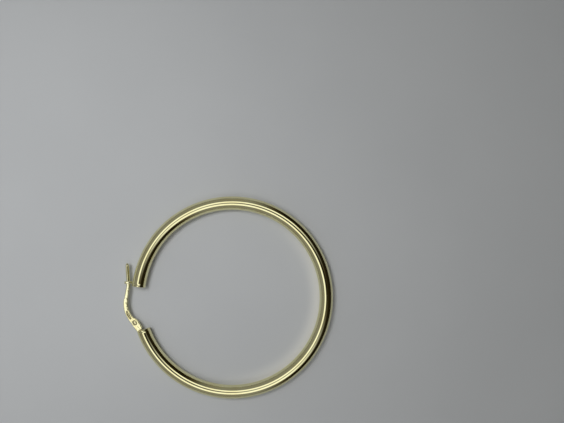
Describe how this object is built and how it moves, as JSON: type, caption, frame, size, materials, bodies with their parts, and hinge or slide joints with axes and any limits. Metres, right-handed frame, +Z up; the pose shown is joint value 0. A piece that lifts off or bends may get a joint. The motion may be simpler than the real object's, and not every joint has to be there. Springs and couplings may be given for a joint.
{
  "type": "hoop earring",
  "caption": "Round gold tube hoop earring with a hinged ear wire that swings clear of the tube's open end.",
  "frame": {"origin": "middle of the underside of the whole earring's box, on the surface it lies on", "axes": "+Z up, square to the ring's plane; +X away from the hoop's opening; +Y from the hinged tube end towards the catch end"},
  "size_m": [0.0466, 0.045, 0.003],
  "materials": {
    "tube_gold": "polished yellow gold",
    "wire_gold": "struck and polished yellow gold",
    "rivet_gold": "filed flush, polished yellow gold"
  },
  "bodies": {
    "hoop": {"hoop_tube": "tube_gold", "hinge_rivet": "rivet_gold"},
    "wire": {"ear_wire": "wire_gold"}
  },
  "joints": [
    {"name": "ear_wire_hinge", "type": "hinge", "parent": "hoop", "child": "wire", "pos_m": [-0.01905, -0.00813, 0.0015], "axis": [0, 0, 1], "range_deg": [0, 65]}
  ]
}
